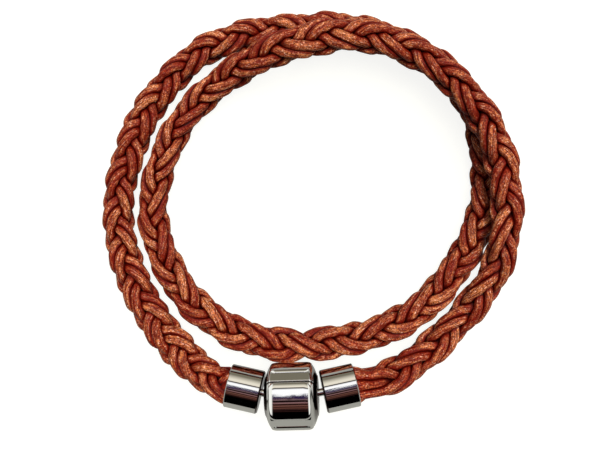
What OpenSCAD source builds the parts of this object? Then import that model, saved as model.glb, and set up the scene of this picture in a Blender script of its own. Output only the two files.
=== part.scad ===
// Bracelet of round braided leather that goes twice round the wrist, shut by a snap barrel.
// It lies on a table: X to the right along the barrel, Y to the far side of the ring, Z up.

/* [Leather cord] */
// Thickness of the braided cord over its laces
cord_d = 5.8; // [5.6:0.1:5.9]
// Width of one lace
lace_w = 1.5; // [1.4:0.05:1.55]
// Thickness of one lace, a little flattened by its neighbours
lace_t = 1.3; // [1.2:0.05:1.35]
// Thickness of the cord where its laces spread to fill a cap
cord_end_d = 6.5; // [6.4:0.1:6.6]

/* [End caps] */
// Outer diameter of a cap
cap_d = 7.6; // [7.6:0.1:7.8]
// Length of a cap
cap_len = 6; // [5.8:0.1:6.2]
// Diameter of the cup that holds the leather
cup_d = 6.7; // [6.7:0.05:6.8]
// Thickness of the wall that shuts the cup
cap_end_wall = 1.4; // [1.2:0.1:1.6]
// Diameter of the neck between cap and ball
neck_d = 1.35; // [1.2:0.05:1.4]
// Diameter of the ball that the barrel holds
ball_d = 3.4; // [3.2:0.1:3.4]
// Distance from the ball's middle to the cap's end wall
neck_reach = 3.05; // [3:0.05:3.2]

/* [Barrel] */
// Diameter over the raised cushions
barrel_d = 11.7; // [11.6:0.1:11.8]
// Length between the two end discs
barrel_len = 9.3; // [9.2:0.1:9.5]
// Diameter of the flat end discs
end_disc_d = 7; // [6.8:0.1:7.2]
// Rise of the end cones for each millimetre along the barrel
end_slope = 2.4; // [2.2:0.1:2.6]
// Height of a cushion over the body between the cushions
cushion_rise = 0.15; // [0.1:0.05:0.2]
// Arc that one cushion covers, in degrees
cushion_arc = 70; // [66:1:71]
// Length of a cushion along the barrel
cushion_len = 7; // [6.8:0.1:7.1]
// Radius of the cushions' corners
cushion_corner_r = 1.1; // [0.8:0.1:1.3]
// Distance between the middles of the two ball sockets
ball_spacing = 5; // [4.8:0.1:5]

/* [Hinge and catch] */
// Distance of the hinge pin from the barrel's middle
hinge_offset = 4.85; // [4.8:0.05:4.85]
// Diameter of the hinge knuckles
knuckle_d = 1.6; // [1.5:0.05:1.65]
// Diameter of the hinge pin
pin_d = 0.8; // [0.7:0.05:0.8]
// Half length of the base's middle knuckle
middle_knuckle_half = 1.5; // [1.3:0.1:1.7]
// Gap between the closed lid and the base
seam_gap = 0.12; // [0.1:0.02:0.16]
// Length of the catch along the barrel
catch_len = 2.4; // [2:0.2:3]

/* [Pose on the table] */
// Turn of the barrel in plan, in degrees
barrel_yaw = 2.5; // [2:0.5:3]
// Rise of the barrel towards its right end, in degrees
barrel_pitch = 4; // [3.5:0.5:4]
// Roll of the barrel towards the ring's middle, in degrees
barrel_roll = 3; // [0:1:4]
// Angle of the seam from the middle of the top cushion, in degrees
seam_angle = 36; // [36:0.5:37]

/* [Hidden] */
$fn = 96;

leather = [0.55, 0.24, 0.12];
steel = [0.78, 0.78, 0.8];
far = 20;                    // longer than any piece of the clasp

// Middle of the barrel, in the route's numbers, and the shift that centres the whole on the origin
barrel_place = [-3.7, -31.3, 6.08];
to_origin = [0.9, -0.05, 0];
barrel_at = barrel_place + to_origin;
barrel_axis = direction(barrel_yaw, barrel_pitch);
left_ball = barrel_at - barrel_axis * ball_spacing / 2;
right_ball = barrel_at + barrel_axis * ball_spacing / 2;

// Plan angle and rise of each cap's axis, from its ball towards the leather
left_axis = direction(168, -3);
right_axis = direction(12, -2);

socket_play = 0.15;          // gap round each ball
hole_inner_r = 1.2;          // end hole at the socket
hole_outer_r = 1.45;         // end hole at the end disc, wide enough for the leaning neck
cap_chamfer = 0.25;
edge_round = 0.3;            // bevel between end cone and end disc
pin_play = 0.04;             // running gap of the lid's knuckles on the pin
pin_seat = 0.01;             // gap of the base's knuckle on the pin
knuckle_gap = 0.15;          // gap between neighbouring knuckles
swing_r = 1.3;               // room cut round the hinge for the other half's knuckles
pin_half = 3.6;
catch_depth = 0.6;
catch_play = 0.2;
catch_height = [3.7, 4.5];   // lower and upper side of the catch over the barrel's middle
body_r = barrel_d / 2 - cushion_rise;
flat_distance = body_r * cos(9.5);

// The cord's middle from the left cap to the right cap, twice round: x, y, height. The outer
// round comes first, then the inner one, which climbs over it at the far side.
table_route = [
    [-19, -27.8, 4.7], [-23.2, -24.4, 3.6], [-28.6, -18, 3], [-32.5, -11, 3.05],
    [-35, -3, 2.95], [-35.2, 4.5, 2.95], [-33.6, 11, 2.95], [-31, 18, 2.95], [-26.3, 24.8, 2.95],
    [-20, 30.5, 2.95], [-11.5, 33.5, 2.95], [-2.5, 34.3, 2.95], [6.5, 34.3, 2.95],
    [15.5, 32, 2.95], [23.3, 27.3, 2.95], [28.8, 19.9, 2.95], [31, 11, 2.95], [31, 3.5, 2.95],
    [28.8, -4, 2.95], [24, -11.5, 2.95], [18.4, -17, 2.95], [10.5, -20.7, 3], [2, -22.3, 3.2],
    [-6, -22.4, 3.2], [-14.4, -20, 2.95], [-22.3, -14, 2.95], [-27.2, -6, 2.95], [-29, 2, 2.95],
    [-27.5, 10, 2.95], [-23.6, 18, 2.95], [-17.3, 24.3, 3.4], [-9.6, 28.4, 6.8], [-2.5, 30.7, 8.5],
    [6.5, 31.9, 8.8], [15, 30, 8.9], [22.3, 25.3, 9], [27.9, 19.2, 9], [31.7, 12, 8.9],
    [33.4, 4, 8.7], [33.3, -3, 8.3], [31.8, -9.8, 6.4], [27.2, -17.2, 3.7], [21.5, -23.2, 3],
    [16.6, -26.9, 3.6], [12.1, -28.8, 4.8],
];
cord_sides = 16;
// Half axes of the ellipse that the middle of a pair of laces follows
weave_wide = cord_d / 2 - lace_t / 2 - 0.3;
weave_narrow = lace_t / 2;
rings_per_step = 5;

// Turns that a lace has made round the cord, by distance along it
braid_turns = [[0, 0.12], [103, 7.16], [162, 11.15], [198, 13.16],
               [290, 18.65], [333, 21.28], [362, 22.78], [390, 24.26]];
// Angle of the columns where clockwise laces lie on top, by distance along the cord
weave_angle = [[0, 57], [60, 55], [82, 48], [186, 48], [202, 135], [390, 135]];

function direction(yaw, pitch) = [cos(pitch) * cos(yaw), cos(pitch) * sin(yaw), sin(pitch)];
function unit(v) = v / norm(v);
function on_cap(ball, axis, reach) = ball + axis * reach;

// Catmull-Rom curve between b and c
function curve(a, b, c, d, t) =
    (2 * b + (c - a) * t + (2 * a - 5 * b + 4 * c - d) * t * t
     + (3 * b - a - 3 * c + d) * t * t * t) / 2;

cup_floor = neck_reach + cap_end_wall;
mouth = neck_reach + cap_len;
leather_start = cup_floor + 0.1;
route = concat(
    [for (reach = [leather_start, mouth]) on_cap(left_ball, left_axis, reach)],
    [for (point = table_route) point + to_origin],
    [for (reach = [mouth, leather_start]) on_cap(right_ball, right_axis, reach)]);
last = len(route) - 1;
padded = concat([2 * route[0] - route[1]], route, [2 * route[last] - route[last - 1]]);
middle = concat(
    [for (i = [1 : last], j = [0 : rings_per_step - 1])
        curve(padded[i - 1], padded[i], padded[i + 1], padded[i + 2], j / rings_per_step)],
    [route[last]]);
rings = len(middle);
run = [for (i = 0, s = 0; i < rings;
            s = s + (i + 1 < rings ? norm(middle[i + 1] - middle[i]) : 0), i = i + 1) s];

// Slope of the braid turns table at a distance along the cord, in degrees a millimetre
function turn_rate(s) = 360 * (lookup(s + 2, braid_turns) - lookup(s - 2, braid_turns)) / 4;

// Reach of two opposite pairs of laces in direction e: m is one pair's middle, v its travel
// across the section for each millimetre along the cord
function pair_reach(m, v, e) =
    let (lean = sqrt(1 + v * v), half = lace_w * lean - lace_t / 2)
    abs(m * e) + half * abs(unit(v) * e) + lace_t / 2;

// Radius of the braid at an angle round it: four pairs of laces go round in turn, two each way,
// each on an ellipse that is wide where the pair lies on top and narrow where it dives under
function braid_radius(angle, s) =
    let (t = 360 * lookup(s, braid_turns), rate = turn_rate(s) * PI / 180,
         a = weave_wide, b = weave_narrow, f = angle - lookup(s, weave_angle),
         e = [cos(f), sin(f)])
    max(pair_reach([a * cos(t), b * sin(t)], [-a * sin(t), b * cos(t)] * rate, e),
        pair_reach([b * cos(t), -a * sin(t)], [-b * sin(t), -a * cos(t)] * rate, e));

// Share of the spread end section: one inside the caps, nought 9 mm further on
function end_share(s) =
    let (inside = mouth - leather_start, d = min(s, run[rings - 1] - s) - inside)
    d < 0 ? 1 : d > 9 ? 0 : (1 + cos(180 * d / 9)) / 2;

function section_radius(angle, s) =
    let (w = end_share(s)) w * cord_end_d / 2 + (1 - w) * braid_radius(angle, s);

module braided_cord() {
    points = [for (i = [0 : rings - 1])
        let (ahead = unit(middle[min(i + 1, rings - 1)] - middle[max(i - 1, 0)]),
             left = unit(cross([0, 0, 1], ahead)), up = cross(ahead, left))
        for (j = [0 : cord_sides - 1])
            let (angle = 360 * j / cord_sides, r = section_radius(angle, run[i]))
            middle[i] + r * cos(angle) * left + r * sin(angle) * up];
    sides = [for (i = [0 : rings - 2], j = [0 : cord_sides - 1])
        let (k = (j + 1) % cord_sides, a = i * cord_sides, c = a + cord_sides)
        for (face = [[a + j, c + k, a + k], [a + j, c + j, c + k]]) face];
    first_end = [[for (j = [0 : cord_sides - 1]) j]];
    last_end = [[for (j = [cord_sides - 1 : -1 : 0]) (rings - 1) * cord_sides + j]];
    color(leather) polyhedron(points, concat(sides, first_end, last_end), convexity = 10);
}

// Puts a shape that is built along Z onto a ball, with Z along the given axis
module along(axis, at) {
    translate(at) rotate([0, acos(axis.z), atan2(axis.y, axis.x)]) children();
}

// A cap with its neck and ball in one piece, built along Z from the ball
module end_cap() {
    r = cap_d / 2;
    difference() {
        union() {
            sphere(d = ball_d);
            cylinder(d = neck_d, h = neck_reach + 0.2);
            rotate_extrude() polygon([
                [0, neck_reach], [r - cap_chamfer, neck_reach], [r, neck_reach + cap_chamfer],
                [r, mouth - cap_chamfer / 2], [r - cap_chamfer / 2, mouth], [0, mouth]]);
        }
        translate([0, 0, cup_floor]) cylinder(d = cup_d, h = far);
    }
}

module left_end_cap() {
    color(steel) along(left_axis, left_ball) end_cap();
}

module right_end_cap() {
    color(steel) along(right_axis, right_ball) end_cap();
}

// The barrel's own frame: X along the barrel, Z through the middle of the top cushion
module in_barrel() {
    translate(barrel_at) rotate([0, 0, barrel_yaw]) rotate([0, -barrel_pitch, 0])
        rotate([-barrel_roll, 0, 0]) children();
}

// The barrel's frame turned so that the seam lies straight up and the lid on the -Y side
module in_seam() {
    in_barrel() rotate([-seam_angle, 0, 0]) children();
}

// A cylinder along X between two places
module bar(r, x0, x1) {
    translate([x0, 0, 0]) rotate([0, 90, 0]) cylinder(r = r, h = x1 - x0);
}

// Barrel outline of a given radius, with steep cones down to the end discs
module barrel_outline(r) {
    half = barrel_len / 2;
    disc_r = end_disc_d / 2;
    shoulder = half - (r - disc_r) / end_slope;
    rotate([0, 90, 0]) rotate_extrude() polygon([
        [0, -half], [disc_r - edge_round, -half], [disc_r, -half + edge_round / 3],
        [r, -shoulder], [r, shoulder],
        [disc_r, half - edge_round / 3], [disc_r - edge_round, half], [0, half]]);
}

// Rectangle with round corners on the XY plane, drawn out along Z
module rounded_block(length, width, corner, z0, z1) {
    translate([0, 0, z0]) linear_extrude(z1 - z0) union() {
        square([length - 2 * corner, width], center = true);
        square([length, width - 2 * corner], center = true);
        for (x = [-1, 1], y = [-1, 1])
            translate([x * (length / 2 - corner), y * (width / 2 - corner)]) circle(corner);
    }
}

// The whole closed barrel: a round body with four narrow flats and four raised cushions
module barrel_body() {
    intersection() {
        barrel_outline(body_r);
        rotate([45, 0, 0]) cube([far, 2 * flat_distance, 2 * flat_distance], center = true);
    }
    for (quarter = [0 : 3]) rotate([90 * quarter, 0, 0])
        intersection() {
            barrel_outline(barrel_d / 2);
            rounded_block(cushion_len, barrel_d * sin(cushion_arc / 2), cushion_corner_r, 3, far);
        }
}

module closed_barrel_in_seam() {
    rotate([seam_angle, 0, 0]) barrel_body();
}

// Room inside the barrel: two ball sockets, a bore between them and a flared hole at each end
module barrel_room() {
    socket_r = ball_d / 2 + socket_play;
    reach = barrel_len / 2 - ball_spacing / 2;
    bar(socket_r, -ball_spacing / 2, ball_spacing / 2);
    for (side = [-1, 1]) translate([side * ball_spacing / 2, 0, 0]) rotate([0, side * 90, 0]) {
        sphere(socket_r);
        translate([0, 0, 1.3])
            cylinder(r1 = hole_inner_r, r2 = hole_outer_r, h = reach - 1.3 + 0.1);
    }
}

module at_hinge() {
    translate([0, 0, -hinge_offset]) children();
}

// Half of space on one side of the seam: -1 for the lid, 1 for the base
module seam_side(side, gap) {
    translate([0, side * (far / 2 + gap), 0]) cube(far, center = true);
}

// The base's share of the barrel: its side of the seam, cut back for the lid's knuckles
module base_zone() {
    difference() {
        seam_side(1, seam_gap / 2);
        for (ends = [[-far, -middle_knuckle_half], [middle_knuckle_half, far]])
            at_hinge() bar(swing_r, ends[0], ends[1]);
    }
    at_hinge() bar(knuckle_d / 2, -middle_knuckle_half, middle_knuckle_half);
}

// The lid's share: the other side, cut back for the base's knuckle
module lid_zone() {
    start = middle_knuckle_half + knuckle_gap;
    difference() {
        seam_side(-1, seam_gap / 2);
        at_hinge() bar(swing_r, -start, start);
    }
    for (ends = [[-far, -start], [start, far]]) at_hinge() bar(knuckle_d / 2, ends[0], ends[1]);
}

// The catch on the lid's free edge, or with play the recess for it in the base
module catch_shape(play) {
    translate([-catch_len / 2 - play, -1, catch_height[0] - play])
        cube([catch_len + 2 * play, 1 + seam_gap / 2 + catch_depth + play,
              catch_height[1] - catch_height[0] + 2 * play]);
}

module barrel_base() {
    color(steel) in_seam() difference() {
        intersection() { closed_barrel_in_seam(); base_zone(); }
        barrel_room();
        at_hinge() bar(pin_d / 2 + pin_seat, -far, far);
        catch_shape(catch_play);
    }
}

module barrel_lid() {
    color(steel) in_seam() difference() {
        union() {
            intersection() { closed_barrel_in_seam(); lid_zone(); }
            catch_shape(0);
        }
        barrel_room();
        at_hinge() bar(pin_d / 2 + pin_play, -far, far);
    }
}

module hinge_pin() {
    color(steel) in_seam() at_hinge() bar(pin_d / 2, -pin_half, pin_half);
}

braided_cord();
left_end_cap();
right_end_cap();
barrel_base();
barrel_lid();
hinge_pin();
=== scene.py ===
import math
import bpy
import numpy as np
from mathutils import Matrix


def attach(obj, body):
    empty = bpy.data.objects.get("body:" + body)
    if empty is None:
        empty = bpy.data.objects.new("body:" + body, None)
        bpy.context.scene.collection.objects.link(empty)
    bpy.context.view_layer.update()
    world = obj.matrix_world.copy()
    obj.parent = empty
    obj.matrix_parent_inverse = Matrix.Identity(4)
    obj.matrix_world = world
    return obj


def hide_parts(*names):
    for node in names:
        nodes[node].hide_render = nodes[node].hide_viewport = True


# Braided leather bracelet that goes twice round the wrist, shut by a polished snap barrel.
# Sizes are in millimetres in the dictionaries and become metres through mm.

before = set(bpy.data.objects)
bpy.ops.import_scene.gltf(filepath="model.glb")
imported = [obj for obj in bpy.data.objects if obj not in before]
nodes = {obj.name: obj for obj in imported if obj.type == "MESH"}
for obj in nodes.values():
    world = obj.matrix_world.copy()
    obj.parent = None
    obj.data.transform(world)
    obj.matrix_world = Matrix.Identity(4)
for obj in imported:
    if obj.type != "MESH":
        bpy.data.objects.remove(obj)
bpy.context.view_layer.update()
mm = 0.001

# Camera, straight over the ring and a little left of its middle
cameraValues = {
    "over": (-1.4, -1.15),        # the point on the table under the lens
    "height": 131,
    "pictureWidth": 600,          # in pixels, as the focal length is
    "focalLength": 707,
}


def makeCamera(values):
    data = bpy.data.cameras.new("camera")
    data.sensor_width = 36
    data.lens = data.sensor_width * values["focalLength"] / values["pictureWidth"]
    data.clip_start = 0.01
    camera = bpy.data.objects.new("camera", data)
    bpy.context.scene.view_settings.view_transform = "Standard"
    camera.location = (values["over"][0] * mm, values["over"][1] * mm, values["height"] * mm)
    bpy.context.scene.collection.objects.link(camera)
    bpy.context.scene.camera = camera


makeCamera(cameraValues)
print("camera placed")


# Mesh helpers

def makeMesh(name, points, quads, triangles=()):
    # points (n, 3) in metres, quads (k, 4) and triangles (m, 3) of point numbers, facing outwards
    quads = np.asarray(quads, np.int32).reshape(-1, 4)
    triangles = np.asarray(triangles, np.int32).reshape(-1, 3)
    corners = np.concatenate([quads.ravel(), triangles.ravel()])
    starts = np.concatenate([np.arange(len(quads)) * 4,
                             len(quads) * 4 + np.arange(len(triangles)) * 3])
    mesh = bpy.data.meshes.new(name)
    mesh.vertices.add(len(points))
    mesh.vertices.foreach_set("co", np.asarray(points, np.float32).ravel())
    mesh.loops.add(len(corners))
    mesh.loops.foreach_set("vertex_index", corners)
    mesh.polygons.add(len(starts))
    mesh.polygons.foreach_set("loop_start", starts.astype(np.int32))
    mesh.update(calc_edges=True)
    mesh.validate()
    mesh.polygons.foreach_set("use_smooth", np.ones(len(mesh.polygons), bool))
    piece = bpy.data.objects.new(name, mesh)
    bpy.context.scene.collection.objects.link(piece)
    return piece


def tubeFaces(rings, sides):
    # Quads between neighbouring rings, and a fan over each end from one point more at its middle
    i, j = np.meshgrid(np.arange(rings - 1), np.arange(sides), indexing="ij")
    nextSide = (j + 1) % sides
    quads = np.stack([i * sides + j, i * sides + nextSide,
                      (i + 1) * sides + nextSide, (i + 1) * sides + j], -1)
    j = np.arange(sides)
    nextSide = (j + 1) % sides
    firstMiddle, lastMiddle = rings * sides, rings * sides + 1
    lastRing = (rings - 1) * sides
    fans = np.concatenate([
        np.stack([nextSide, j, np.full(sides, firstMiddle)], -1),
        np.stack([lastRing + j, lastRing + nextSide, np.full(sides, lastMiddle)], -1)])
    return quads.reshape(-1, 4), fans


def unit(vectors):
    return vectors / np.linalg.norm(vectors, axis=-1, keepdims=True)


def smoothStep(low, high, values):
    t = np.clip((values - low) / (high - low), 0, 1)
    return t * t * (3 - 2 * t)


def slowNoise(rng, along, spacing):
    # Smooth random curve between -1 and 1, with a new height about every spacing
    count = int(along[-1] / spacing) + 4
    heights = rng.uniform(-1, 1, count)
    place = along / spacing
    first = place.astype(int)
    t = place - first
    t = t * t * (3 - 2 * t)
    return heights[first] * (1 - t) + heights[first + 1] * t


# Braided cord, eight laces in four pairs

cordValues = {
    "laceWidth": 1.58,
    "laceThickness": 1.42,
    "lead": 15.2,                 # length of one turn
    "pull": 1.4,                  # how near two laces' middles come when the braid is drawn tight
    "loose": (1.95, 0.7),         # half axes of a pair's path before it is drawn tight
    "looseGap": 0.55,             # half the gap between a pair's laces there, as a share of pull
    "pointsPerTurn": 48,
    "drawSteps": 160,
    "smoothing": 0.25,            # share of the way to its neighbours' mean that a point moves
    "push": 0.4,                  # share of an overlap that one push clears
    "turns": ([0, 103, 162, 198, 290, 333, 362, 390],          # turns made by each distance
              [0.12, 7.16, 11.15, 13.16, 18.65, 21.28, 22.78, 24.26]),
    "columns": ([0, 60, 82, 186, 202, 390], [57, 55, 48, 48, 135, 135]),   # roll, in degrees
    # Where the braid is fuller or slimmer, and where it lies to the left of the route, as distances
    # from the left end and the share or shift there. They were rounded and thinned by hand from a
    # script's readings of the outlines in the photo and in a render.
    "fullness": ([0, 15, 45, 60, 75, 100, 120, 150, 210, 255, 280, 305, 325, 340, 370, 385],
                 [1, 1.2, 1, 1.05, 0.95, 1.1, 0.95, 1.05, 1.1, 0.95, 1.1, 0.95, 1.05, 1, 1.1, 1]),
    "aside": ([0, 15, 45, 85, 115, 135, 165, 215, 240, 295, 315, 340, 360, 380],
              [0, 0.2, -0.2, -0.2, 0, 0.3, 0, 0.4, -0.15, -0.1, 0.3, -0.1, 0.1, 0]),
    "ringStep": 0.3,
    "sides": 24,
    "squareness": 2.25,           # 2 is an ellipse, higher is boxier
    "ridges": (5, 0.03),          # lengthwise ridges round a lace, and their share of its size
    "wander": 0.06,
    "roll": 7,                    # how far a lace turns about its own line, in degrees
    "uneven": 0.05,               # share by which its width and thickness vary
    "mouthRing": 2.36,            # radius of the ring of laces in a cap's mouth
    "mouthFuller": 0.16,          # how much fuller a lace is there, as a share
    "mouthBlend": (0.5, 2.5),     # from so far before the mouth to so far past it the ring loosens
    "freeFrom": (6, 10),          # distances from an end between which a lace starts to wander
    # How far apart the bends of each slow variation lie
    "spacing": {"wander": (4, 5), "roll": 6, "width": 3, "thickness": 3.5, "ridges": 7, "tone": 9},
    "fullReach": 3,               # distance from the cord's middle that the reach mask counts as 1
    "ridgeDrift": 2.5,            # how far the ridges drift round a lace, in radians
    "seed": 11,
}

capValues = {
    "barrel": (-2.8, -31.35, 6.08),   # its middle
    "barrelAxis": (2.5, 4),           # yaw and rise in degrees, as for the caps
    "ball": 2.5,                      # from the barrel's middle to a ball's
    "leftAxis": (168, -3),
    "rightAxis": (12, -2),
    "leatherStart": 4.55,             # from the ball's middle, and so is the mouth
    "mouth": 9.05,
}

# The cord's middle from the left cap to the right cap, twice round, as in the part's source. Most
# points were moved once by a script, by shifts read from an outline comparison, and then rounded.
cordRoute = [
    (-19, -27.8, 4.7), (-23.2, -24.4, 3.6), (-28.6, -18, 3), (-32.5, -11, 3.05),
    (-35, -3, 2.95), (-35.2, 4.5, 2.95), (-33.6, 11, 2.95), (-31, 18, 2.95), (-26.3, 24.8, 2.95),
    (-20, 30.5, 2.95), (-11.5, 33.5, 2.95), (-2.5, 34.3, 2.95), (6.5, 34.3, 2.95),
    (15.5, 32, 2.95), (23.3, 27.3, 2.95), (28.8, 19.9, 2.95), (31, 11, 2.95), (31, 3.5, 2.95),
    (28.8, -4, 2.95), (24, -11.5, 2.95), (18.4, -17, 2.95), (10.5, -20.7, 3), (2, -22.3, 3.2),
    (-6, -22.4, 3.2), (-14.4, -20, 2.95), (-22.3, -14, 2.95), (-27.2, -6, 2.95), (-29, 2, 2.95),
    (-27.5, 10, 2.95), (-23.6, 18, 2.95), (-17.3, 24.3, 3.4), (-9.6, 28.4, 6.8), (-2.5, 30.7, 8.5),
    (6.5, 31.9, 8.8), (15, 30, 8.9), (22.3, 25.3, 9), (27.9, 19.2, 9), (31.7, 12, 8.9),
    (33.4, 4, 8.7), (33.3, -3, 8.3), (31.8, -9.8, 6.4), (27.2, -17.2, 3.7), (21.5, -23.2, 3),
    (16.6, -26.9, 3.6), (12.1, -28.8, 4.8),
]
toOrigin = (0.9, -0.05, 0)


def direction(yaw, rise):
    yaw, rise = math.radians(yaw), math.radians(rise)
    return np.array([math.cos(rise) * math.cos(yaw), math.cos(rise) * math.sin(yaw), math.sin(rise)])


def capPoint(side, reach):
    away = {"left": -1, "right": 1}[side] * capValues["ball"]
    ball = np.array(capValues["barrel"]) + direction(*capValues["barrelAxis"]) * away
    return ball + direction(*capValues[side + "Axis"]) * reach


def cordMiddle(step):
    # Catmull-Rom curve through the route, then evenly spaced points along it with their distances
    start, mouth = capValues["leatherStart"], capValues["mouth"]
    route = np.array([capPoint("left", start), capPoint("left", mouth),
                      *(np.array(cordRoute) + toOrigin),
                      capPoint("right", mouth), capPoint("right", start)])
    padded = np.vstack([2 * route[0] - route[1], route, 2 * route[-1] - route[-2]])
    a, b, c, d = (padded[i:len(route) - 1 + i, None] for i in range(4))
    t = (np.arange(60) / 60)[None, :, None]
    curve = (2 * b + (c - a) * t + (2 * a - 5 * b + 4 * c - d) * t ** 2
             + (3 * b - a - 3 * c + d) * t ** 3) / 2
    curve = np.vstack([curve.reshape(-1, 3), route[-1]])
    along = np.concatenate([[0], np.cumsum(np.linalg.norm(np.diff(curve, axis=0), axis=1))])
    distance = np.linspace(0, along[-1], int(along[-1] / step) + 1)
    return np.stack([np.interp(distance, along, curve[:, k]) for k in range(3)], -1), distance


def softClamp(values, low, high, softness):
    # Follows values between low and high and eases into both
    values = low + softness * np.logaddexp(0, (values - low) / softness)
    return high - softness * np.logaddexp(0, (high - values) / softness)


def pushApart(pair, values):
    # Pushes each point of a pair's two laces away from every lace nearer than pull. The other three
    # pairs follow by symmetry: half a turn round, and mirrored a quarter turn further on.
    count, lead, pull = values["pointsPerTurn"], values["lead"], values["pull"]
    quarter = count // 4
    reach = int(1.6 * pull / (lead / count)) + 1
    order = np.arange(count)
    across = np.roll(pair, -quarter, axis=1)[..., [1, 0, 2]]
    across[:, -quarter:, 2] += lead
    across[..., 2] -= lead / 4
    everyLace = np.concatenate([pair, pair * [-1, -1, 1], across, across * [-1, -1, 1]])
    around = np.stack([everyLace + [0, 0, k * lead] for k in (-1, 0, 1)], 1)
    gap = pair[:, :, None, None, None] - around[None, None]
    apart = np.linalg.norm(gap, axis=-1)
    for own in (0, 1):     # a lace doesn't push its own near points
        for k in range(3):
            near = np.abs(order[:, None] - order[None] - (k - 1) * count) <= reach
            apart[own, :, own, k][near] = 99
    press = np.clip(pull - apart, 0, None)
    touching = np.maximum((press > 0).sum((2, 3, 4)), 1)
    push = (press / np.maximum(apart, 1e-6))[..., None] * gap
    share = np.minimum(touching, 2) / touching * values["push"]
    return pair + push.sum((2, 3, 4)) * share[..., None], press.max()


def tightBraid(values):
    # One turn of a pair's two laces, drawn tight. Each point moves towards the mean of its two
    # neighbours along the lace, and is pushed off the laces that it comes too near to.
    count, lead = values["pointsPerTurn"], values["lead"]
    wide, narrow = values["loose"]
    angle = np.arange(count) / count * 2 * math.pi
    middle = np.stack([wide * np.cos(angle), narrow * np.sin(angle), angle / (2 * math.pi) * lead], -1)
    beside = unit(np.stack([-wide * np.sin(angle), narrow * np.cos(angle), 0 * angle], -1))
    beside = beside * values["pull"] * values["looseGap"]
    pair = np.stack([middle + beside, middle - beside])
    for step in range(values["drawSteps"]):
        ahead = np.roll(pair, -1, axis=1)
        ahead[:, -1, 2] += lead
        behind = np.roll(pair, 1, axis=1)
        behind[:, 0, 2] -= lead
        pair = pair + values["smoothing"] * ((ahead + behind) / 2 - pair)
        for contact in range(2):
            pair, overlap = pushApart(pair, values)
        pair[..., 2] -= (pair[..., 2] - np.arange(count) / count * lead).mean()
    print(f"braid drawn tight, laces overlap by {overlap:.3f} mm at most")
    return pair


def lacePlace(values, pair, family, side, twin, distance):
    # The lace's place across the cord, by how many turns the braid has made there. Near the caps
    # the turning stops and the laces spread in a ring that fills the cap's mouth.
    end = distance[-1]
    inside = capValues["mouth"] - capValues["leatherStart"]
    turns = np.interp(distance, *values["turns"])
    firstStop = 0.375             # turns at which the four pairs lie a quarter apart
    lastStop = math.floor((np.interp(end - inside - 1, *values["turns"]) - 0.125) * 4) / 4 + 0.125
    turns = softClamp(turns, firstStop, lastStop, 0.03)
    lace = pair[0 if twin > 0 else 1]
    phase = turns + (0.25 if family == "backward" else 0)
    place = np.stack([np.interp(phase, lace[:, 2] / values["lead"], lace[:, k], period=1)
                      for k in (0, 1)], -1)
    centre = pair.mean(0)
    middle = np.stack([np.interp(phase, centre[:, 2] / values["lead"], centre[:, k], period=1)
                       for k in (0, 1)], -1)
    if family == "backward":
        place, middle = place[:, ::-1], middle[:, ::-1]
    place, middle = side * place, side * middle

    # Ring in the cap's mouth
    before, after = values["mouthBlend"]
    share = np.maximum(1 - smoothStep(inside - before, inside + after, distance),
                       1 - smoothStep(inside - before, inside + after, end - distance))[:, None]
    pairAngle = np.arctan2(middle[:, 1], middle[:, 0])
    turnSign = np.sign(middle[:, 0] * place[:, 1] - middle[:, 1] * place[:, 0])
    ringAngle = pairAngle + turnSign * math.pi / 8
    ring = np.stack([np.cos(ringAngle), np.sin(ringAngle)], -1)
    place, outward = (1 - share) * place + share * values["mouthRing"] * ring, unit(place + 0.3 * middle)
    return place, outward, share[:, 0]


def laceSection(values, distance, ringShare, rng):
    # A superellipse with ridges at each distance. It is a little wider and thicker in places, fuller
    # in a cap's mouth, and turns about the lace's own line.
    spacing, uneven = values["spacing"], values["uneven"]
    roll = np.radians(values["roll"]) * slowNoise(rng, distance, spacing["roll"])
    angle = np.arange(values["sides"]) / values["sides"] * 2 * math.pi
    power = 2 / values["squareness"]
    sectionX = np.sign(np.cos(angle)) * np.abs(np.cos(angle)) ** power
    sectionY = np.sign(np.sin(angle)) * np.abs(np.sin(angle)) ** power
    fuller = 1 + values["mouthFuller"] * ringShare
    width = 1 + uneven * slowNoise(rng, distance, spacing["width"])
    width = values["laceWidth"] / 2 * fuller * width
    height = 1 + uneven * slowNoise(rng, distance, spacing["thickness"])
    height = values["laceThickness"] / 2 * fuller * height
    count, rise = values["ridges"]
    drift = values["ridgeDrift"] * slowNoise(rng, distance, spacing["ridges"])[:, None]
    ridged = 1 + rise * (np.cos(count * angle + drift) + 0.6 * np.cos((count + 2) * angle - drift))
    x, y = width[:, None] * sectionX * ridged, height[:, None] * sectionY * ridged
    cosine, sine = np.cos(roll)[:, None], np.sin(roll)[:, None]
    return x * cosine - y * sine, x * sine + y * cosine


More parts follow.
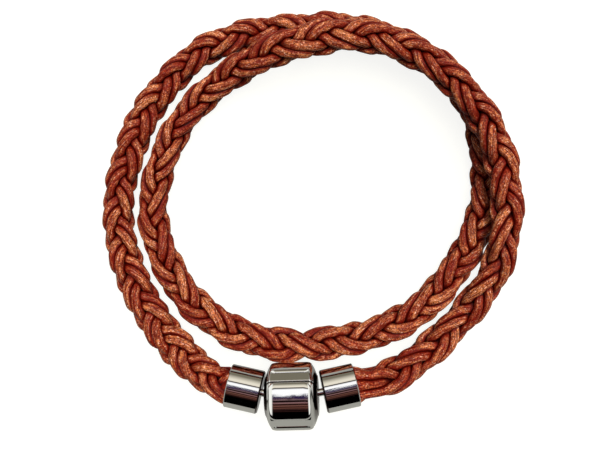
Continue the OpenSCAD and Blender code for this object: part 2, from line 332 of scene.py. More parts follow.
def makeLace(values, pair, family, side, twin, middle, distance, seed):
    rng = np.random.default_rng(seed)
    ahead = unit(np.gradient(middle, axis=0))
    left = unit(np.cross([0, 0, 1], ahead))
    up = np.cross(ahead, left)
    place, outward, ringShare = lacePlace(values, pair, family, side, twin, distance)
    column = np.radians(np.interp(distance, *values["columns"]))
    column = np.convolve(np.pad(column, 10, mode="edge"), np.ones(21) / 21, mode="valid")
    cosine, sine = np.cos(column)[:, None], np.sin(column)[:, None]

    def inSpace(flat):
        x = flat[:, :1] * cosine - flat[:, 1:] * sine
        y = flat[:, :1] * sine + flat[:, 1:] * cosine
        return x * left + y * up

    # The lace's own middle line and frame
    line = middle + inSpace(place)
    normal = inSpace(outward)
    along = unit(np.gradient(line, axis=0))
    normal = unit(normal - (normal * along).sum(1)[:, None] * along)
    across = np.cross(along, normal)
    free = smoothStep(*values["freeFrom"], np.minimum(distance, distance[-1] - distance))
    for way, spacing in zip((normal, across), values["spacing"]["wander"]):
        line = line + (free * values["wander"] * slowNoise(rng, distance, spacing))[:, None] * way
    x, y = laceSection(values, distance, ringShare, rng)
    points = line[:, None] + x[..., None] * across[:, None] + y[..., None] * normal[:, None]

    # Fuller or slimmer sideways, and a little beside the route
    widening = np.interp(distance, *values["fullness"])[:, None] - 1
    aside = np.interp(distance, *values["aside"])[:, None]
    line = line + (((line - middle) * left).sum(1)[:, None] * widening + aside) * left
    spread = ((points - middle[:, None]) * left[:, None]).sum(2) * widening + aside
    points = points + spread[..., None] * left[:, None]
    return line, points, rng


def nearestOther(number, points, lines, reach=9):
    # Distance from each point of a lace to the middle line of the nearest other lace
    best = np.full(points.shape[:2], 99.0)
    for other, line in enumerate(lines):
        if other == number:
            continue
        padded = np.pad(line, ((reach, reach), (0, 0)), mode="edge")
        for shift in range(2 * reach + 1):
            gap = np.linalg.norm(points - padded[shift:shift + len(line), None], axis=2)
            best = np.minimum(best, gap)
    return best


def finishLace(values, name, line, points, middle, distance, crease, rng):
    rings, sides = points.shape[:2]
    quads, fans = tubeFaces(rings, sides)
    everyPoint = np.concatenate([points.reshape(-1, 3), line[:1], line[-1:]])
    piece = makeMesh(name, everyPoint * mm, quads[:, ::-1], fans[:, ::-1])

    # Attributes for the dye and the painted shade: room to the next lace, how far out a point lies, the
    # lace's own tone
    ahead = unit(np.gradient(middle, axis=0))
    offset = points - middle[:, None]
    offset = offset - (offset * ahead[:, None]).sum(2)[..., None] * ahead[:, None]
    reach = np.linalg.norm(offset, axis=2).ravel()
    tone = np.repeat(slowNoise(rng, distance, values["spacing"]["tone"]) * 0.5 + 0.5, sides)
    ends = np.zeros(2)
    room = crease.ravel() - values["laceThickness"] / 2
    masks = {"reach": reach / values["fullReach"], "tone": tone, "room": np.clip(room, 0, 1)}
    for label, data in masks.items():
        attribute = piece.data.attributes.new(label, "FLOAT", "POINT")
        attribute.data.foreach_set("value", np.concatenate([data, ends]).astype(np.float32))

    # UV map: along the lace and round it, both in millimetres
    length = np.concatenate([[0], np.cumsum(np.linalg.norm(np.diff(line, axis=0), axis=1))])
    shareOfBox = 0.85             # the section's girth as a share of its box's
    girth = 2 * (values["laceWidth"] + values["laceThickness"]) * shareOfBox
    i, k = np.meshgrid(np.arange(rings - 1), np.arange(sides), indexing="ij")
    cornerU = np.stack([length[i + 1], length[i + 1], length[i], length[i]], -1)
    cornerV = np.stack([k, k + 1, k + 1, k], -1) * girth / sides
    uv = np.zeros((len(piece.data.loops), 2), np.float32)
    uv[:cornerU.size] = np.stack([cornerU.ravel(), cornerV.ravel()], -1)
    layer = piece.data.uv_layers.new(name="laceMap")
    layer.data.foreach_set("uv", uv.ravel())
    return piece


def makeCord(values):
    middle, distance = cordMiddle(values["ringStep"])
    pair = tightBraid(values)
    kinds = [(family, side, twin) for family in ("onward", "backward")
             for side in (1, -1) for twin in (1, -1)]
    drafts = [makeLace(values, pair, *kind, middle, distance, values["seed"] + number)
              for number, kind in enumerate(kinds)]
    lines = [line for line, points, rng in drafts]
    laces = []
    for number, (line, points, rng) in enumerate(drafts):
        crease = nearestOther(number, points, lines)
        lace = finishLace(values, f"lace_{number + 1}", line, points, middle, distance, crease, rng)
        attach(lace, "bracelet")
        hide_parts("braided_cord")
        laces.append(lace)
    print(f"cord braided, {distance[-1]:.1f} mm long")
    return laces


laces = makeCord(cordValues)


# Snap barrel in two halves, as seen along its own axis X. In the seam's frame the seam lies straight
# up, the lid on the -Y side and the hinge at the bottom.

barrelValues = {
    "half": 4.65,                 # half the barrel's length
    "bodyRadius": 5.6,
    "flatDistance": 5.53,         # of the four narrow flats from the axis
    "discRadius": 3.5,
    "coneRise": 2.69,
    "shoulderRound": 1.3,
    "cushionRadius": 5.85,
    "cushionHalfLength": 3.68,
    "cushionHalfArc": 35.5,
    "cushionCorner": 1.3,
    "cushionBorder": 1.1,         # width over which a cushion's border falls off, and how deep
    "cushionFall": 0.42,
    "cushionFlatness": 0.6,       # how much fuller a cushion's sides are than a cylinder
    "cushionShoulder": (0.12, 0.9),   # its height over the cone, and the size of the round there
    "rim": (0.1, 0.2),            # width and fall of the end discs' rounded rims
    "seamFromCushion": 36,
    "roll": 3,
    "seamGap": 0.18,
    "seamRound": 0.2,
    "hingeOffset": 4.85,
    "knuckleRadius": 0.8,
    "middleKnuckle": 1.5,         # half its length
    "knuckleGap": 0.15,
    "swingRadius": 1.3,
    "pinBore": {"base": 0.41, "lid": 0.44},
    "socketRadius": 1.85,
    "holeRadii": (1.2, 1.45),
    "catch": (1.2, 0.66, 3.7, 4.5),   # half length, reach past the seam, lower and upper side
    "catchPlay": 0.2,
}


def smoothMin(a, b, size):
    h = np.clip(size - np.abs(a - b), 0, None) / size
    return np.minimum(a, b) - h * h * size / 4


def barrelRadius(values, x, angle):
    # Distance of the surface from the axis. The body is a cylinder with four flats and a steep cone
    # at each end. On it lie four cushions, rounded rectangles whose borders fall off on an arc.
    fromMiddle = np.radians(values["seamFromCushion"])
    fromCushion = (angle + fromMiddle + math.pi / 4) % (math.pi / 2) - math.pi / 4
    flat = values["flatDistance"] / np.cos(math.pi / 4 - np.abs(fromCushion))
    rimWidth, rimFall = values["rim"]
    cone = values["discRadius"] + (values["half"] - rimWidth - np.abs(x)) * values["coneRise"]
    body = smoothMin(np.minimum(flat, values["bodyRadius"]), cone, values["shoulderRound"])

    radius, corner, border = values["cushionRadius"], values["cushionCorner"], values["cushionBorder"]
    halfWidth = radius * math.sin(math.radians(values["cushionHalfArc"]))
    sideX = np.abs(x) - values["cushionHalfLength"] + corner
    sideY = np.abs(radius * np.sin(fromCushion)) - halfWidth + corner
    outside = np.hypot(np.clip(sideX, 0, None), np.clip(sideY, 0, None))
    inside = corner - outside - np.minimum(np.maximum(sideX, sideY), 0)
    fall = values["cushionFall"] * (1 - np.sqrt(1 - np.clip(1 - inside / border, 0, 1) ** 2))
    fuller = values["cushionFlatness"] * np.clip(np.abs(fromCushion) - 0.17, 0, 0.45) ** 2
    steep = np.where(inside > 0, 0, -inside * 3)
    overCone, shoulder = values["cushionShoulder"]
    cushion = smoothMin(radius + fuller - fall - steep, cone + overCone, shoulder)
    surface = -smoothMin(-body, -cushion, 0.03)

    # End discs with a rounded rim, and rounded edges along the seam
    rim = np.clip((np.abs(x) - values["half"] + rimWidth) / rimWidth, 0, 1)
    disc = values["discRadius"] - rimFall * (1 - np.sqrt(1 - rim ** 2))
    surface = np.where(rim > 0, disc, surface)
    soft = values["seamRound"]
    fromSeam = np.abs(surface * np.sin(angle)) - values["seamGap"] / 2
    return surface - soft + np.sqrt(soft ** 2 - np.clip(soft - fromSeam, 0, soft) ** 2)


roundSides = 96
roundAngles = np.arange(roundSides) / roundSides * 2 * math.pi


def revolved(name, xs, radii, angle=roundAngles):
    # Closed solid round the X axis; radii is (rings, sides), or (rings, 1) for a round one
    sides = len(angle)
    radii = np.broadcast_to(radii, (len(xs), sides))
    points = np.stack([np.broadcast_to(xs[:, None], radii.shape), radii * np.sin(angle),
                       radii * np.cos(angle)], -1).reshape(-1, 3)
    points = np.vstack([points, [xs[0], 0, 0], [xs[-1], 0, 0]])
    quads, fans = tubeFaces(len(xs), sides)
    return makeMesh(name, points, quads, fans)


def bar(radius, x0, x1, z=0.0):
    piece = revolved("tool", np.array([x0, x1], float), np.full((2, 1), radius, float))
    move = np.array([0, 0, z])
    shiftPoints(piece, lambda points: points + move)
    return piece


def block(low, high):
    x, y, z = zip(low, high)
    corners = [(x[i & 1], y[i >> 1 & 1], z[i >> 2 & 1]) for i in range(8)]
    return makeMesh("tool", corners, [(0, 2, 3, 1), (4, 5, 7, 6), (0, 1, 5, 4), (2, 6, 7, 3),
                                      (0, 4, 6, 2), (1, 3, 7, 5)])


def shiftPoints(piece, change):
    count = len(piece.data.vertices)
    points = np.empty(count * 3)
    piece.data.vertices.foreach_get("co", points)
    piece.data.vertices.foreach_set("co", change(points.reshape(-1, 3)).ravel())
    piece.data.update()


def combine(piece, operation, *tools):
    # DIFFERENCE, UNION or INTERSECT with each tool, which is then removed
    for tool in tools:
        step = piece.modifiers.new("cut", "BOOLEAN")
        step.solver = "MANIFOLD"
        step.operation = operation
        step.object = tool
        bpy.context.view_layer.update()
        evaluated = piece.evaluated_get(bpy.context.evaluated_depsgraph_get())
        cut = bpy.data.meshes.new_from_object(evaluated)
        piece.modifiers.clear()
        piece.data = cut
        bpy.data.objects.remove(tool)
    return piece


def barrelHalf(values, name, side, body):
    far, hinge, knuckle = 9, -values["hingeOffset"], values["knuckleRadius"]
    middle = values["middleKnuckle"]
    start = middle + values["knuckleGap"]
    gap = values["seamGap"] / 2
    low = (-far, gap, -far) if side > 0 else (-far, -far, -far)
    high = (far, far, far) if side > 0 else (far, -gap, far)
    zone = block(low, high)
    if side > 0:
        combine(zone, "DIFFERENCE", bar(values["swingRadius"], -far - 1, -middle, hinge),
                bar(values["swingRadius"], middle, far + 1, hinge))
        combine(zone, "UNION", bar(knuckle, -middle, middle, hinge))
    else:
        combine(zone, "DIFFERENCE", bar(values["swingRadius"], -start, start, hinge))
        combine(zone, "UNION", bar(knuckle, -far, -start, hinge), bar(knuckle, start, far, hinge))
    piece = bpy.data.objects.new(name, body.data.copy())
    bpy.context.scene.collection.objects.link(piece)
    combine(piece, "INTERSECT", zone)
    catchHalf, catchReach, catchLow, catchHigh = values["catch"]
    play = values["catchPlay"] if side > 0 else 0
    catch = block((-catchHalf - play, -1, catchLow - play),
                  (catchHalf + play, catchReach - gap + play, catchHigh + play))
    combine(piece, "DIFFERENCE" if side > 0 else "UNION", catch)

    # Ball sockets joined by a bore, with a flared hole at each end
    ball = capValues["ball"]
    socket, (inner, outer) = values["socketRadius"], values["holeRadii"]
    turn = np.linspace(0, math.acos(inner / socket), 14)
    xs = np.concatenate([ball + socket * np.sin(turn), [values["half"] + 0.1, values["half"] + 1]])
    radii = np.concatenate([socket * np.cos(turn), [outer, outer + 0.2]])
    xs, radii = np.concatenate([-xs[::-1], xs]), np.concatenate([radii[::-1], radii])
    combine(piece, "DIFFERENCE", revolved("tool", xs, radii[:, None]),
            bar(values["pinBore"][name.split("_")[1]], -far, far, hinge))
    return piece


def barrelGrid(values):
    # Places along the axis and angles round it, closer where the body bends: past plainHalf along
    # it, and round it at the cushions' borders and at the seam and the hinge
    plainHalf, rimWidth = 2.3, values["rim"][0]
    near = np.arange(plainHalf, values["half"] - rimWidth, 0.055)
    rims = values["half"] - rimWidth + rimWidth * np.sin(np.linspace(0.001, math.pi / 2, 5))
    plain = np.linspace(-plainHalf, plainHalf, 29)[1:-1]
    xs = np.concatenate([-rims[::-1], -near[::-1], plain, near, rims])
    borders = [k * 90 - values["seamFromCushion"] + np.arange(24, 66.01, 0.6) for k in range(4)]
    middles = [k * 90 - values["seamFromCushion"] + np.arange(-22, 23, 2) for k in range(4)]
    seams = [k * 180 + np.linspace(-2.2, 2.2, 23) for k in range(2)]
    angles = np.unique(np.round(np.concatenate(borders + middles + seams) % 360, 3))
    angles = np.radians(angles[np.concatenate([[True], np.diff(angles) > 0.12])])
    return xs, angles


def barrelTurn(values):
    # Turns the seam's frame into the bracelet's: roll about X, then rise about Y and yaw about Z
    yaw, rise = np.radians(capValues["barrelAxis"])
    roll = math.radians(values["roll"] + values["seamFromCushion"])
    aboutX = np.array([[1, 0, 0],
                       [0, math.cos(roll), math.sin(roll)],
                       [0, -math.sin(roll), math.cos(roll)]])
    aboutY = np.array([[math.cos(rise), 0, -math.sin(rise)],
                       [0, 1, 0],
                       [math.sin(rise), 0, math.cos(rise)]])
    aboutZ = np.array([[math.cos(yaw), -math.sin(yaw), 0],
                       [math.sin(yaw), math.cos(yaw), 0],
                       [0, 0, 1]])
    return aboutZ @ aboutY @ aboutX


def makeBarrel(values):
    xs, angles = barrelGrid(values)
    radii = barrelRadius(values, *np.broadcast_arrays(xs[:, None], angles[None]))
    body = revolved("barrelBody", xs, radii, angles)
    turn = barrelTurn(values)
    middle = np.array(capValues["barrel"])
    halves = []
    for name, side, node, rides in (("shell_base", 1, "barrel_base", "bracelet"),
                                    ("shell_lid", -1, "barrel_lid", "lid")):
        piece = barrelHalf(values, name, side, body)
        shiftPoints(piece, lambda points: (points @ turn.T + middle) * mm)
        piece.data.polygons.foreach_set("use_smooth", np.ones(len(piece.data.polygons), bool))
        piece.data.set_sharp_from_angle(angle=math.radians(30))
        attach(piece, rides)
        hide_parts(node)
        halves.append(piece)
        print(name, len(piece.data.polygons), "faces")
    bpy.data.objects.remove(body)
    return halves


barrelHalves = makeBarrel(barrelValues)


# Materials

def fromSrgb(red, green, blue):
    linear = [c / 12.92 if c <= 0.04045 else ((c + 0.055) / 1.055) ** 2.4 for c in (red, green, blue)]
    return (*linear, 1)


class Nodes:
    # Short calls for the nodes and links of a material, a group or the world
    def __init__(self, tree):
        self.tree = tree

    def node(self, kind, **inputs):
        made = self.tree.nodes.new(kind)
        for key, value in inputs.items():
            if key in made.inputs:
                self.feed(made.inputs[key], value)
            else:
                setattr(made, key, value)
        return made

    def feed(self, socket, value):
        if isinstance(value, bpy.types.NodeSocket):
            self.tree.links.new(value, socket)
        else:
            socket.default_value = value

    def math(self, operation, first, second=0.0):
        made = self.tree.nodes.new("ShaderNodeMath")
        made.operation = operation
        self.feed(made.inputs[0], first)
        self.feed(made.inputs[1], second)
        return made.outputs[0]

    def mix(self, factor, first, second):
        made = self.tree.nodes.new("ShaderNodeMix")
        made.data_type = "RGBA"
        self.feed(made.inputs[0], factor)
        self.feed(made.inputs[6], first)
        self.feed(made.inputs[7], second)
        return made.outputs[2]

    def range(self, value, low, high, outLow=0.0, outHigh=1.0):
        made = self.tree.nodes.new("ShaderNodeMapRange")
        made.interpolation_type = "SMOOTHSTEP"
        for index, item in enumerate((value, low, high, outLow, outHigh)):
            self.feed(made.inputs[index], item)
        return made.outputs[0]

    def window(self, value, low, lowFull, highFull, high):
        # Comes between low and lowFull and goes between highFull and high
        return self.math("MULTIPLY", self.range(value, low, lowFull), self.range(value, high, highFull))

    def noise(self, vector, scale, detail=2.0, roughness=0.5):
        made = self.tree.nodes.new("ShaderNodeTexNoise")
        self.feed(made.inputs["Vector"], vector)
        made.inputs["Scale"].default_value = scale
        made.inputs["Detail"].default_value = detail
        made.inputs["Roughness"].default_value = roughness
        return made.outputs[0]

    def attribute(self, name):
        made = self.tree.nodes.new("ShaderNodeAttribute")
        made.attribute_name = name
        return made.outputs["Fac"]


def newMaterial(name):
    material = bpy.data.materials.new(name)
    material.use_nodes = True
    shader = Nodes(material.node_tree)
    return material, shader, shader.tree.nodes["Principled BSDF"]


leatherValues = {
    "grooveShadeAndDye": (0.12, 0.0, 0.0),          # painted shade deep in the grooves, with darker dye there
    "crease": (0.29, 0.015, 0.0),       # painted shade towards a lace's edges, with their darker dye; also pits, pores and cracks
    "red": (0.45, 0.09, 0.035),
    "brown": (0.54, 0.23, 0.12),
    "ochre": (0.74, 0.44, 0.25),
    # spark colours the painted glints, pale the flecks of worn dye and painted highlight
    "spark": (0.86, 0.47, 0.26),
    "pale": (1.0, 0.82, 0.72),
    "grainScale": 4600,                 # this and the next two per metre
    "poreScale": 1900,
    "patchScale": 520,
    "streakScale": (0.3, 2.2, 1),       # this and the next two per millimetre, along and across
    "fleckScale": (2.4, 5.2, 1),
    "fibreScale": (0.5, 4.2, 1),
}


def rubbedShare(shader, values, uv, inMetres):
    # How rubbed the dye is: tone, patch and streak added up, and a little more away from the creases
    streakPlace = shader.node("ShaderNodeMapping", Vector=uv, Scale=values["streakScale"])
    streak = shader.noise(streakPlace.outputs[0], 1, 4, 0.65)
    patch = shader.noise(inMetres, values["patchScale"], 3, 0.6)
    tone = shader.attribute("tone")
    rubbed = shader.math("ADD", shader.math("MULTIPLY", tone, 0.2), shader.math("MULTIPLY", patch, 0.6))
    rubbed = shader.math("ADD", rubbed, shader.math("MULTIPLY", streak, 1.0))
    return shader.math("ADD", rubbed, shader.range(shader.attribute("room"), 0.3, 0.85, -0.12, 0.1))


def dyeShadeAndHighlight(shader, values, uv, inMetres, grain, fibre):
    # Red turns to brown and then to ochre the more it is rubbed
    rubbed = rubbedShare(shader, values, uv, inMetres)
    reach, room = shader.attribute("reach"), shader.attribute("room")
    openShare = shader.range(room, 0.15, 0.6)
    brownShare = shader.range(rubbed, 0.8, 1.06)
    ochreShare = shader.math("MULTIPLY", shader.range(rubbed, 0.96, 1.2), openShare)
    colour = shader.mix(brownShare, fromSrgb(*values["red"]), fromSrgb(*values["brown"]))
    colour = shader.mix(ochreShare, colour, fromSrgb(*values["ochre"]))

    # Painted glints on the bright grain, and pale flecks of worn dye and painted highlight, stronger
    # where it is rubbed and none in the creases
    fleckPlace = shader.node("ShaderNodeMapping", Vector=uv, Scale=values["fleckScale"])
    fleck = shader.noise(fleckPlace.outputs[0], 1, 2, 0.6)
    glint = shader.math("MULTIPLY", shader.range(grain, 0.53, 0.65),
                        shader.range(rubbed, 0.75, 1.15, 0.2, 0.8))
    wornDyeAndHighlight = shader.math("MULTIPLY", shader.range(fleck, 0.54, 0.67),
                       shader.range(rubbed, 0.8, 1.2, 0.08, 0.75))
    colour = shader.mix(shader.math("MULTIPLY", glint, openShare), colour, fromSrgb(*values["spark"]))
    colour = shader.mix(shader.math("MULTIPLY", wornDyeAndHighlight, openShare), colour, fromSrgb(*values["pale"]))

    # Dark pits where the grain is low, pores at the Voronoi cells' middles, cracks along the fibre
    pores = shader.node("ShaderNodeTexVoronoi", Vector=inMetres, Scale=values["poreScale"])
    pit = shader.math("MULTIPLY", shader.range(grain, 0.49, 0.37), 0.9)
    pore = shader.math("MULTIPLY", shader.range(pores.outputs["Distance"], 0.34, 0.2), 0.9)
    pit = shader.math("MAXIMUM", pit, pore)
    crack = shader.math("MULTIPLY", shader.range(fibre, 0.49, 0.41), 0.8)
    colour = shader.mix(shader.math("MAXIMUM", pit, crack), colour, fromSrgb(*values["crease"]))

    # Painted shade with some darker dye: towards a lace's edges by the room to the next lace, most deep
    # in the braid
    edge = shader.math("MULTIPLY", shader.range(room, 0.66, 0.14), 0.94)
    colour = shader.mix(edge, colour, fromSrgb(*values["crease"]))
    deepShadeAndDye = shader.math("MAXIMUM", shader.range(reach, 0.66, 0.44), shader.range(room, 0.34, 0.1))
    return shader.mix(deepShadeAndDye, colour, fromSrgb(*values["grooveShadeAndDye"]))


def makeLeather(values):
    # Dyed leather with painted shade and highlights: the colour above, smoother on the bright grain, and
    # raised by grain and fibre
    material, shader, surface = newMaterial("dyedLeather")
    place = shader.node("ShaderNodeTexCoord")
    uv, inMetres = place.outputs["UV"], place.outputs["Object"]
    grain = shader.noise(inMetres, values["grainScale"], 2, 0.65)
    fibrePlace = shader.node("ShaderNodeMapping", Vector=uv, Scale=values["fibreScale"])
    fibre = shader.noise(fibrePlace.outputs[0], 1, 2, 0.55)
    colour = dyeShadeAndHighlight(shader, values, uv, inMetres, grain, fibre)
    shader.feed(surface.inputs["Base Color"], colour)
    shader.feed(surface.inputs["Roughness"], shader.range(grain, 0.3, 0.7, 0.52, 0.26))
    surface.inputs["Specular IOR Level"].default_value = 0.07
    height = shader.math("ADD", shader.math("MULTIPLY", grain, 0.8), shader.math("MULTIPLY", fibre, 1.3))
    bump = shader.node("ShaderNodeBump", Strength=0.8, Distance=0.00014, Height=height)
    shader.feed(surface.inputs["Normal"], bump.outputs[0])
    return material


def makeHandledGroup():
    # Traces of handling: smears are a soft noise, scratches a noise stretched along a turned
    # direction, in patches of a third. Both add roughness, by Smear, and the scratches are cut in,
    # by Scratch in metres.
    group = bpy.data.node_groups.new("handledMetal", "ShaderNodeTree")
    for name, kind in (("Place", "NodeSocketVector"), ("Roughness", "NodeSocketFloat"),
                       ("Smear", "NodeSocketFloat"), ("Scratch", "NodeSocketFloat")):
        group.interface.new_socket(name, in_out="INPUT", socket_type=kind)
    group.interface.new_socket("Roughness", in_out="OUTPUT", socket_type="NodeSocketFloat")
    group.interface.new_socket("Normal", in_out="OUTPUT", socket_type="NodeSocketVector")
    inside = Nodes(group)
    given = inside.node("NodeGroupInput")
    result = inside.node("NodeGroupOutput")
    place = given.outputs["Place"]
    smear = inside.range(inside.noise(place, 420, 3, 0.6), 0.42, 0.68)
    turned = inside.node("ShaderNodeMapping", Vector=place, Rotation=(0.4, 0.2, 0.7))
    stretched = inside.node("ShaderNodeMapping", Vector=turned.outputs[0], Scale=(0.05, 1, 1))
    lines = inside.range(inside.noise(stretched.outputs[0], 9000, 1), 0.62, 0.72)
    patches = inside.range(inside.noise(place, 700, 2), 0.5, 0.7)
    scratch = inside.math("MULTIPLY", lines, patches)
    rough = inside.math("MULTIPLY", given.outputs["Smear"], inside.math("ADD", smear, scratch))
    inside.feed(result.inputs["Roughness"], inside.math("ADD", given.outputs["Roughness"], rough))
    bump = inside.node("ShaderNodeBump", Strength=1.0, Height=scratch,
                       Distance=given.outputs["Scratch"])
    bump.invert = True
    inside.feed(result.inputs["Normal"], bump.outputs[0])
    return group


steelValues = {
    "polished": {"colour": (0.78, 0.78, 0.78), "roughness": 0.04, "smear": 0.03, "scratch": 7e-7},
    "pin": {"colour": (0.72, 0.72, 0.73), "roughness": 0.2, "smear": 0.08, "scratch": 3e-6},
    # Where cap and barrel face each other the steel gets painted shade: its colour, and between which
    # distances that comes and goes, from the barrel's middle and from a cap's ball
    "gapShade": (0.3, 0.26, 0.25),
    "gapShadeBarrel": (3.85, 4.35, 5, 6),
    "gapShadeCap": (3, 3.04, 3.3, 3.4),
}


def makeSteel(name, values, handled, start=None, axis=None, gapShade=None):
    material, shader, surface = newMaterial(name)
    place = shader.node("ShaderNodeTexCoord")
    traces = shader.node("ShaderNodeGroup", node_tree=handled)
    shader.feed(traces.inputs["Place"], place.outputs["Object"])
    for key in ("roughness", "smear", "scratch"):
        traces.inputs[key.capitalize()].default_value = values[key]
    surface.inputs["Base Color"].default_value = fromSrgb(*values["colour"])
    if gapShade:
        # Painted shade in the gap, by the distance from start, measured along axis
        offset = shader.node("ShaderNodeVectorMath", operation="SUBTRACT")
        shader.feed(offset.inputs[0], place.outputs["Object"])
        offset.inputs[1].default_value = np.array(start) * mm
        along = shader.node("ShaderNodeVectorMath", operation="DOT_PRODUCT")
        shader.feed(along.inputs[0], offset.outputs[0])
        along.inputs[1].default_value = axis
        distance = shader.math("ABSOLUTE", along.outputs["Value"])
        share = shader.window(distance, *(edge * mm for edge in gapShade))
        shader.feed(surface.inputs["Base Color"],
                    shader.mix(share, fromSrgb(*values["colour"]), fromSrgb(*steelValues["gapShade"])))
    surface.inputs["Metallic"].default_value = 1
    shader.feed(surface.inputs["Roughness"], traces.outputs["Roughness"])
    shader.feed(surface.inputs["Normal"], traces.outputs["Normal"])
    return material


def paint(piece, material):
    piece.data.materials.clear()
    piece.data.materials.append(material)


leather = makeLeather(leatherValues)
handledMetal = makeHandledGroup()
barrelSteel = makeSteel("barrelSteel", steelValues["polished"], handledMetal, capValues["barrel"],
                        direction(*capValues["barrelAxis"]), steelValues["gapShadeBarrel"])
pinSteel = makeSteel("pinSteel", steelValues["pin"], handledMetal)
for lace in laces:
    paint(lace, leather)
for piece in (*barrelHalves, nodes["barrel_base"], nodes["barrel_lid"]):
    paint(piece, barrelSteel)
for side in ("left", "right"):
    capSteel = makeSteel(side + "CapSteel", steelValues["polished"], handledMetal, capPoint(side, 0),
                         direction(*capValues[side + "Axis"]), steelValues["gapShadeCap"])
    paint(nodes[side + "_end_cap"], capSteel)
paint(nodes["hinge_pin"], pinSteel)
print("materials made")


# Floor, surroundings and light

studioValues = {
    "floorSize": 6.0,
    "floorColour": (0.6, 0.595, 0.54),
    "floorGlow": (0.87, 0.25),      # seen by the camera and by mirrors, so the paper stays white
    "floorGlowColour": (1, 1, 0.985, 1),
    # What the steel sees, as bands by their angle from straight up, from behind to the front: where
    # each begins, where it ends, and its colour. Between two bands the colour blends. Their order,
    # angles and rough colours go back to a script's readings of the caps and barrel in the photo.
    "surroundings": [
        (-90, -75, (0.45, 0.43, 0.37)),     # a dim wall behind
        (-50, -40, (0.9, 0.87, 0.8)),       # its light upper part
        (-38, -35, (0.2, 0.15, 0.15)),      # a dark edge
        (-30, -18, (1, 1, 1)),              # a white panel
        (-13, -4, (0.15, 0.1, 0.25)),       # a violet one
        (-1, 0, (0.5, 0.4, 0.4)),           # a thin pale line
        (2, 31, (0.1, 0.05, 0.05)),         # the dark front, where the streaks are
        (40, 90, (0, 0, 0))],               # and its black lower part
    "streaks": {10: (0.6, 0.45, 0.45), 20: (0.5, 0.35, 0.3), 27: (0.4, 0.25, 0.2)},
    "streakWidth": 3,               # degrees from a streak's middle to the dark beside it
    "ragged": 0.8,                  # how far the violet band's edges run in and out
    "raggedTeeth": (120, 5, 5),
    "raggedZone": (-24, -17, -4, 2),
    "fineStreak": (0.4, 0.24, 0.21),
    "fineStreakTurns": 21,          # how closely the fine streaks lie
    "fineStreakZone": (8, 13, 30, 40),
    "sidePanel": (0.95, 0.95, 0.92),
    "sidePanelZone": (0.3, 0.5, 0.9, 0.95),   # by the sideways part of the direction
    "sidePanelFront": (50, 62),     # angles over which the side panels end
    "beyondPanels": (0.06, 0.035, 0.03),
    "surroundingStrength": 1.75,
    "diffuseStrength": 0.12,
    # Strength, width in degrees as seen from the bracelet, and tilt of each lamp
    "key": (2.6, 64, (-18, 11)),
    "sheen": (2.8, 9, (-14, 8)),    # on the leather alone
}


def makeFloor(values):
    # Pale paper that glows for rays from the camera, and less for mirrored ones
    half = values["floorSize"] / 2
    corners = np.array([(-half, -half, 0), (half, -half, 0), (half, half, 0), (-half, half, 0)])
    floor = makeMesh("floor", corners, [(0, 1, 2, 3)])
    material, shader, surface = newMaterial("palePaper")
    surface.inputs["Base Color"].default_value = fromSrgb(*values["floorColour"])
    surface.inputs["Roughness"].default_value = 0.7
    surface.inputs["Specular IOR Level"].default_value = 0.1
    ray = shader.node("ShaderNodeLightPath")
    glow = [shader.math("MULTIPLY", ray.outputs[kind], share)
            for kind, share in zip(("Is Camera Ray", "Is Glossy Ray"), values["floorGlow"])]
    shader.feed(surface.inputs["Emission Strength"], shader.math("ADD", *glow))
    surface.inputs["Emission Color"].default_value = values["floorGlowColour"]
    floor.data.materials.append(material)


def fillRamp(ramp, values):
    # Two stops for each band, and three for each streak in the dark front
    bands, away = values["surroundings"], values["streakWidth"]
    first, last, dark = bands[0], bands[-1], bands[-2][2]
    wanted = [(first[1], first[2]), (last[0], last[2])]
    for begin, end, colour in bands[1:-1]:
        wanted += [(begin, colour), (end, colour)]
    for degrees, colour in values["streaks"].items():
        wanted += [(degrees - away, dark), (degrees, colour), (degrees + away, dark)]
    stops = ramp.color_ramp.elements
    stops[0].color, stops[1].color = fromSrgb(*first[2]), fromSrgb(*last[2])
    for degrees, colour in wanted:
        stops.new((degrees + 90) / 180).color = fromSrgb(*colour)


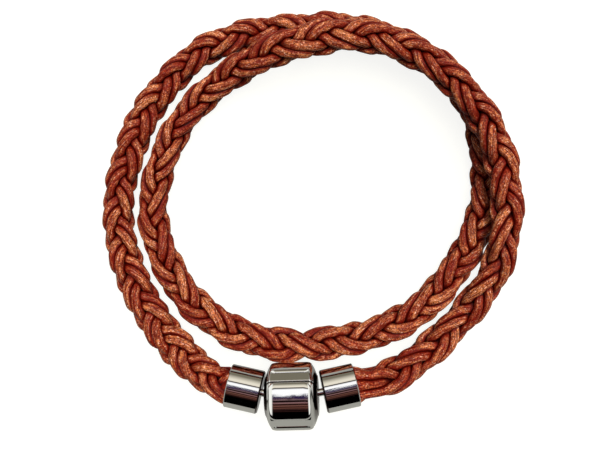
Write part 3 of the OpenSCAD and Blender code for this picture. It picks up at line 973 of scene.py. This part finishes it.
def seenBySteel(sky, values):
    # A ramp over the angle from straight up, with ragged edges round the violet band, fine streaks
    # in the dark front and a bright panel on the left and the right
    towards = sky.node("ShaderNodeTexCoord").outputs["Generated"]
    parts = sky.node("ShaderNodeSeparateXYZ", Vector=towards)
    angle = sky.math("ARCTAN2", sky.math("MULTIPLY", parts.outputs["Y"], -1), parts.outputs["Z"])

    teeth = sky.node("ShaderNodeMapping", Vector=towards, Scale=values["raggedTeeth"])
    ragged = sky.math("SUBTRACT", sky.noise(teeth.outputs[0], 1, 2), 0.5)
    zone = sky.window(angle, *map(math.radians, values["raggedZone"]))
    wavy = sky.math("MULTIPLY", ragged, sky.math("MULTIPLY", zone, values["ragged"]))
    share = sky.node("ShaderNodeMapRange", Value=sky.math("ADD", angle, wavy))
    share.inputs["From Min"].default_value = -math.pi / 2
    share.inputs["From Max"].default_value = math.pi / 2
    ramp = sky.node("ShaderNodeValToRGB", Fac=share.outputs[0])
    fillRamp(ramp, values)

    wave = sky.node("ShaderNodeTexNoise", noise_dimensions="1D")
    turns = sky.math("MULTIPLY", angle, values["fineStreakTurns"])
    sky.feed(wave.inputs["W"], sky.math("ADD", turns, parts.outputs["X"]))
    wave.inputs["Scale"].default_value = 1
    zone = sky.window(angle, *map(math.radians, values["fineStreakZone"]))
    streak = sky.math("MULTIPLY", sky.range(wave.outputs[0], 0.5, 0.62), zone)
    colour = sky.mix(streak, ramp.outputs[0], fromSrgb(*values["fineStreak"]))

    beside = sky.math("ABSOLUTE", parts.outputs["X"])
    zone = values["sidePanelZone"]
    panelEnd, panelGone = map(math.radians, values["sidePanelFront"])
    panel = sky.math("MULTIPLY", sky.window(beside, *zone), sky.range(angle, panelGone, panelEnd))
    colour = sky.mix(panel, colour, fromSrgb(*values["sidePanel"]))
    return sky.mix(sky.range(beside, *zone[2:]), colour, fromSrgb(*values["beyondPanels"]))


def makeSurroundings(values):
    # Glossy rays see the bands, above all those from the steel. Rays from the camera and diffuse
    # rays see plain white, the diffuse ones at diffuseStrength.
    world = bpy.data.worlds.new("surroundings")
    bpy.context.scene.world = world
    world.use_nodes = True
    sky = Nodes(world.node_tree)
    ray = sky.node("ShaderNodeLightPath")
    plain = sky.math("MAXIMUM", ray.outputs["Is Diffuse Ray"], ray.outputs["Is Camera Ray"])
    colour = sky.mix(plain, seenBySteel(sky, values), (1, 1, 1, 1))
    glow = sky.node("ShaderNodeMapRange", Value=ray.outputs["Is Diffuse Ray"])
    glow.inputs["To Min"].default_value = values["surroundingStrength"]
    glow.inputs["To Max"].default_value = values["diffuseStrength"]
    background = sky.tree.nodes["Background"]
    sky.feed(background.inputs["Color"], colour)
    sky.feed(background.inputs["Strength"], glow.outputs[0])


def makeLamps(values):
    # A wide key lamp that mirrors don't show, and a narrower one for the leather's sheen
    leatherAlone = bpy.data.collections.new("leatherAlone")
    for lace in laces:
        leatherAlone.objects.link(lace)
    for name in ("key", "sheen"):
        strength, width, (tiltX, tiltY) = values[name]
        light = bpy.data.lights.new(name, "SUN")
        light.energy = strength
        light.angle = math.radians(width)
        lamp = bpy.data.objects.new(name, light)
        lamp.rotation_euler = (math.radians(tiltX), math.radians(tiltY), 0)
        lamp.visible_glossy = name == "sheen"
        if name == "sheen":
            lamp.light_linking.receiver_collection = leatherAlone
        bpy.context.scene.collection.objects.link(lamp)


makeFloor(studioValues)
makeSurroundings(studioValues)
makeLamps(studioValues)
print("studio lit")
